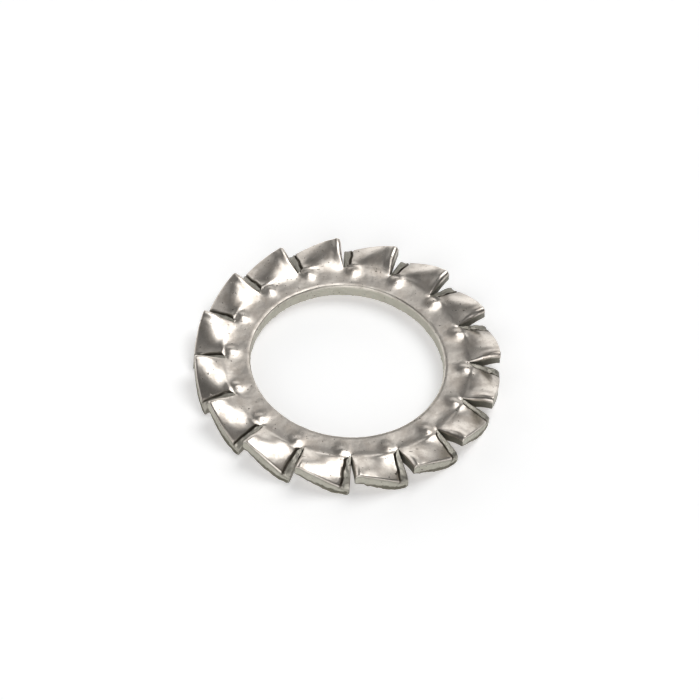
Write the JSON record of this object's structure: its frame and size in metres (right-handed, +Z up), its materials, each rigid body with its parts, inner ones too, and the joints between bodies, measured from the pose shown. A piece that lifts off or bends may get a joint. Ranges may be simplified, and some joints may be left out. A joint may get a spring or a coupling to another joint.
{
  "type": "toothed lock washer",
  "caption": "Toothed lock washer: a flat steel ring with a plain bore, its rim lanced into twisted teeth that bite the bolt head above and the work below.",
  "frame": {"origin": "on the axis of the bore, in the plane that the lowest corners of the teeth rest on", "axes": "+Z up along the axis of the bore; +X through the middle of a tooth"},
  "size_m": [0.0206, 0.0206, 0.0021],
  "materials": {
    "washer_steel": "bare satin steel, bright where the sheet is bent over, duller and rougher on the lanced edges"
  },
  "bodies": {
    "root": {"washer": "washer_steel"}
  },
  "joints": []
}
